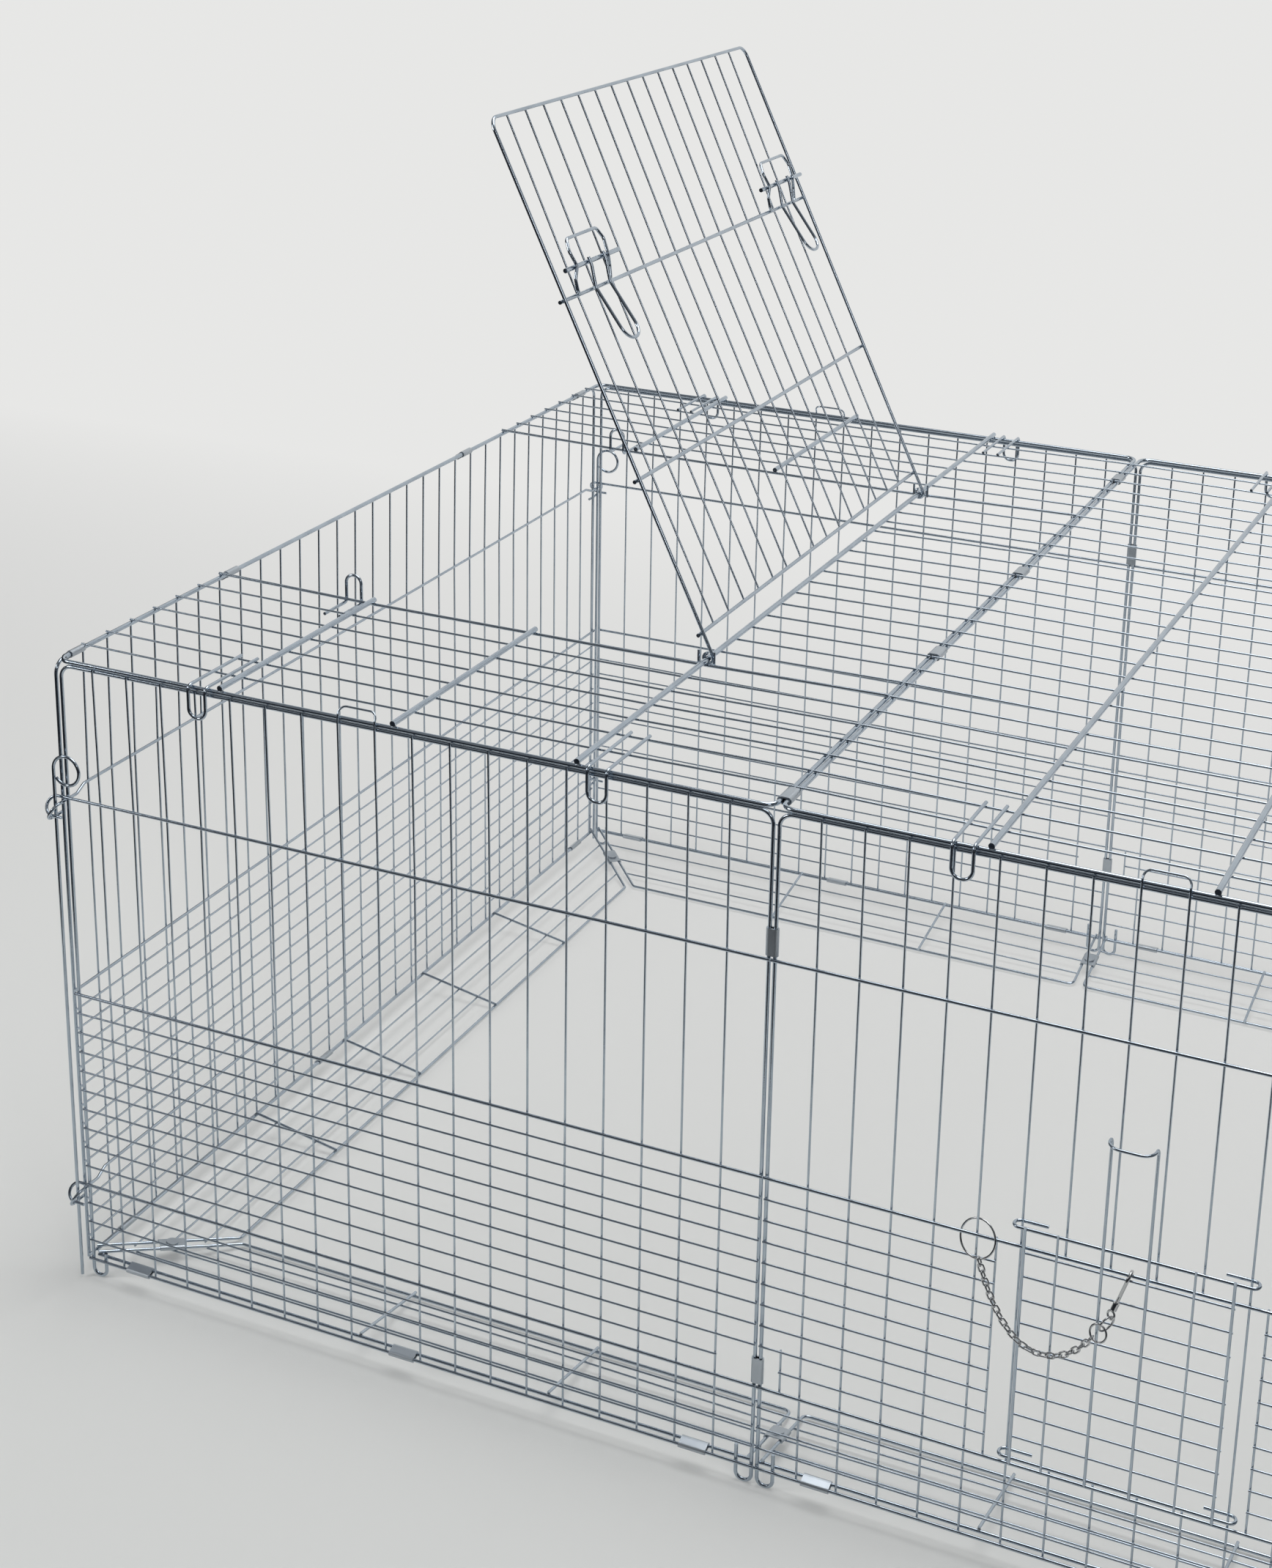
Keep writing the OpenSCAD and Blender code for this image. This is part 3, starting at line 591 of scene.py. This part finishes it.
@dataclass(frozen=True)
class Sweep:
    """The pale floor that curves up into a backdrop.

    Attributes:
        front: Where the floor begins, along Y in metres.
        back: Where the backdrop stands, along Y.
        height: Top of the backdrop.
        bend: Radius of the curve from the floor to the backdrop.
        bend_steps: Straight steps in that curve.
        half: Half of the sweep's width.
        colour: Colour of the paper, linear RGB.
        roughness: Roughness of the paper.
        fade_from: Where the lit floor begins to fade into plain backdrop, along Y.
        fade_to: Where the backdrop is wholly plain, along Y.
        floor: Radius of the lit floor, which has faded at twice that on every side.
    """

    front: float = -7.0
    back: float = 4.2
    height: float = 7.0
    bend: float = 2.0
    bend_steps: int = 16
    half: float = 9.0
    colour: Colour = (0.78, 0.785, 0.765)
    roughness: float = 0.9
    fade_from: float = -0.9
    fade_to: float = 2.0
    floor: float = 2.3

    def build(self) -> None:
        """Makes the sweep and lays its paper."""
        profile = [(self.front, 0.0)]
        for i in range(self.bend_steps + 1):
            turn = math.radians(90) * i / self.bend_steps
            y = self.back - self.bend + self.bend * math.sin(turn)
            z = self.bend - self.bend * math.cos(turn)
            profile.append((y, z))
        profile.append((self.back, self.height))
        line = [(-self.half, y, z) for y, z in profile]
        sweep = draw_out("sweep", line, (2 * self.half, 0.0, 0.0))
        sweep.data.shade_smooth()
        sweep.data.materials.append(self._paper())

    def _paper(self) -> bpy.types.Material:
        """Makes the paper, which turns plain and evenly lit behind the run.

        Returns:
            The material: a matt floor near by, and a flat pale backdrop far off.
        """
        paper = bpy.data.materials.new("paper")
        paper.use_nodes = True
        nodes, links = paper.node_tree.nodes, paper.node_tree.links
        surface = nodes["Principled BSDF"]
        surface.inputs["Base Color"].default_value = (*self.colour, 1.0)
        surface.inputs["Roughness"].default_value = self.roughness
        backdrop = nodes.new("ShaderNodeEmission")
        backdrop.inputs["Color"].default_value = (*BACKDROP_COLOUR, 1.0)

        share = nodes.new("ShaderNodeMath")
        share.operation = "MULTIPLY"
        links.new(self._seen(paper.node_tree), share.inputs[0])
        links.new(self._far_off(paper.node_tree), share.inputs[1])
        mix = nodes.new("ShaderNodeMixShader")
        links.new(share.outputs[0], mix.inputs["Fac"])
        links.new(surface.outputs["BSDF"], mix.inputs[1])
        links.new(backdrop.outputs["Emission"], mix.inputs[2])
        links.new(mix.outputs["Shader"], nodes["Material Output"].inputs["Surface"])
        return paper

    def _far_off(self, tree: bpy.types.ShaderNodeTree) -> bpy.types.NodeSocket:
        """Measures how far a point of the paper is from the run.

        Args:
            tree: The paper's nodes.

        Returns:
            A value that is 0 on the lit floor and 1 where the backdrop is wholly plain.
        """
        nodes, links = tree.nodes, tree.links
        place = nodes.new("ShaderNodeTexCoord")
        split = nodes.new("ShaderNodeSeparateXYZ")
        links.new(place.outputs["Object"], split.inputs[0])
        behind = nodes.new("ShaderNodeMapRange")
        behind.inputs["From Min"].default_value = self.fade_from
        behind.inputs["From Max"].default_value = self.fade_to
        links.new(split.outputs["Y"], behind.inputs["Value"])
        away = nodes.new("ShaderNodeVectorMath")
        away.operation = "LENGTH"
        links.new(place.outputs["Object"], away.inputs[0])
        around = nodes.new("ShaderNodeMapRange")
        around.inputs["From Min"].default_value = self.floor
        around.inputs["From Max"].default_value = 2 * self.floor
        links.new(away.outputs["Value"], around.inputs["Value"])
        far = nodes.new("ShaderNodeMath")
        far.operation = "MAXIMUM"
        links.new(behind.outputs["Result"], far.inputs[0])
        links.new(around.outputs["Result"], far.inputs[1])
        return far.outputs[0]

    def _seen(self, tree: bpy.types.ShaderNodeTree) -> bpy.types.NodeSocket:
        """Tells the rays that see the plain backdrop from those that light the run.

        Args:
            tree: The paper's nodes.

        Returns:
            A value that is 1 for the camera's rays and for those that metal mirrors.
        """
        nodes, links = tree.nodes, tree.links
        ray = nodes.new("ShaderNodeLightPath")
        seen = nodes.new("ShaderNodeMath")
        seen.operation = "MAXIMUM"
        links.new(ray.outputs["Is Camera Ray"], seen.inputs[0])
        links.new(ray.outputs["Is Glossy Ray"], seen.inputs[1])
        return seen.outputs[0]


@dataclass(frozen=True)
class Cards:
    """Dark cards round the front and sides, which only the shine of the metal shows.

    Attributes:
        front: Where the front card stands, along Y in metres.
        back: Where the side cards end, along Y.
        half: Half of the distance between the side cards.
        foot: How far the cards stand clear of the floor.
        height: Height of the cards.
        colour: Colour of their felt, linear RGB.
        roughness: Roughness of the felt.
    """

    front: float = -1.25
    back: float = 0.6
    half: float = 1.45
    foot: float = 1 * MM
    height: float = 1.0
    colour: Colour = (0.030, 0.034, 0.044)
    roughness: float = 1.0

    def build(self) -> None:
        """Makes the three cards as one sheet and covers them with felt."""
        line = [
            (-self.half, self.back, self.foot),
            (-self.half, self.front, self.foot),
            (self.half, self.front, self.foot),
            (self.half, self.back, self.foot),
        ]
        cards = draw_out("cards", line, (0.0, 0.0, self.height))
        felt = bpy.data.materials.new("felt")
        felt.use_nodes = True
        surface = felt.node_tree.nodes["Principled BSDF"]
        surface.inputs["Base Color"].default_value = (*self.colour, 1.0)
        surface.inputs["Roughness"].default_value = self.roughness
        cards.data.materials.append(felt)
        cards.visible_camera = False
        cards.visible_diffuse = False
        cards.visible_shadow = False


@dataclass(frozen=True)
class Room:
    """The dim room round the sweep, in whose place the camera sees the plain backdrop.

    Attributes:
        walls: Colour of its walls, linear RGB.
        ceiling: Colour of its ceiling, linear RGB.
        walls_to: Sine of the angle above the floor up to which the walls reach.
        ceiling_from: Sine of the angle at which the ceiling begins.
    """

    walls: Colour = (0.018, 0.020, 0.026)
    ceiling: Colour = (0.22, 0.228, 0.236)
    walls_to: float = 0.05
    ceiling_from: float = 0.55

    def build(self) -> None:
        """Makes the room as the scene's world."""
        world = bpy.data.worlds.new("room")
        bpy.context.scene.world = world
        world.use_nodes = True
        nodes, links = world.node_tree.nodes, world.node_tree.links
        place = nodes.new("ShaderNodeTexCoord")
        split = nodes.new("ShaderNodeSeparateXYZ")
        links.new(place.outputs["Generated"], split.inputs[0])
        ramp = nodes.new("ShaderNodeValToRGB")
        low, high = ramp.color_ramp.elements
        low.position = self.walls_to
        low.color = (*self.walls, 1.0)
        high.position = self.ceiling_from
        high.color = (*self.ceiling, 1.0)
        links.new(split.outputs["Z"], ramp.inputs["Fac"])
        links.new(ramp.outputs["Color"], nodes["Background"].inputs["Color"])

        backdrop = nodes.new("ShaderNodeBackground")
        backdrop.inputs["Color"].default_value = (*BACKDROP_COLOUR, 1.0)
        ray = nodes.new("ShaderNodeLightPath")
        mix = nodes.new("ShaderNodeMixShader")
        links.new(ray.outputs["Is Camera Ray"], mix.inputs["Fac"])
        links.new(nodes["Background"].outputs[0], mix.inputs[1])
        links.new(backdrop.outputs[0], mix.inputs[2])
        links.new(mix.outputs[0], nodes["World Output"].inputs["Surface"])


def facing(place: Point, aim: Point) -> Quaternion:
    """Turns a lamp or a camera towards a point.

    Args:
        place: Where it stands.
        aim: The point it faces.

    Returns:
        The turn from its unturned state, in which it faces down.
    """
    return (Vector(aim) - Vector(place)).to_track_quat("-Z", "Y")


@dataclass(frozen=True)
class Lamp:
    """One soft area lamp.

    Attributes:
        name: Its name.
        place: Where it stands, in metres.
        aim: The point it faces.
        size: Width and height.
        power: Its power in watts.
    """

    name: str
    place: Point
    aim: Point
    size: tuple[float, float]
    power: float

    def build(self) -> None:
        """Stands the lamp in its place."""
        light = bpy.data.lights.new(self.name, "AREA")
        light.shape = "RECTANGLE"
        light.size, light.size_y = self.size
        light.energy = self.power
        holder = bpy.data.objects.new(self.name, light)
        holder.location = self.place
        holder.rotation_euler = facing(self.place, self.aim).to_euler()
        bpy.context.scene.collection.objects.link(holder)


@dataclass(frozen=True)
class View:
    """The camera of the main view.

    Attributes:
        place: Where the camera stands, in metres.
        aim: A point on its axis.
        roll: Turn about its axis, in degrees.
        lens: Focal length in millimetres.
        shift: Lens shift as a part of the long side.
        reach: How far it sees.
    """

    place: Point
    aim: Point
    roll: float
    lens: float
    shift: tuple[float, float]
    reach: float = 60.0

    def build(self) -> None:
        """Stands the camera in its place."""
        data = bpy.data.cameras.new("photographer")
        data.lens = self.lens
        data.shift_x, data.shift_y = self.shift
        data.clip_end = self.reach
        data.dof.use_dof = False
        camera = bpy.data.objects.new("photographer", data)
        camera.location = self.place
        roll = Quaternion((0, 0, 1), math.radians(self.roll))
        camera.rotation_euler = (facing(self.place, self.aim) @ roll).to_euler()
        bpy.context.scene.collection.objects.link(camera)
        bpy.context.scene.camera = camera


class Studio:
    """A pale sweep, dark cards, a dim room, soft lamps and the camera."""

    LAMPS = (
        Lamp("ceiling", (0.2, 0.2, 3.4), (0.0, 0.0, 0.3), size=(2.4, 2.0), power=59.0),
        Lamp("window", (-3.2, -2.4, 1.5), (0.0, 0.0, 0.4), size=(1.2, 2.6), power=60.0),
        Lamp("fill", (2.6, -3.2, 1.6), (0.0, 0.0, 0.4), size=(0.9, 2.2), power=26.0),
    )
    VIEW = View(
        place=(0.7056, -2.3490, 1.5164),
        aim=(-0.3695, 0.0, 0.6922),
        roll=1.10,
        lens=58.93,
        shift=(-0.015, -0.173),
    )

    def build(self) -> None:
        """Makes the whole studio."""
        for piece in (Sweep(), Cards(), Room(), *self.LAMPS, self.VIEW):
            piece.build()
            log.info("studio: %s", type(piece).__name__)
        bpy.context.scene.view_settings.view_transform = "Standard"


def main() -> None:
    """Loads the frame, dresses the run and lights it."""
    logging.basicConfig(level=logging.INFO, format="%(name)s: %(message)s")
    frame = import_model()
    WireRun(frame).dress()
    Studio().build()


if __name__ == "__main__":
    main()
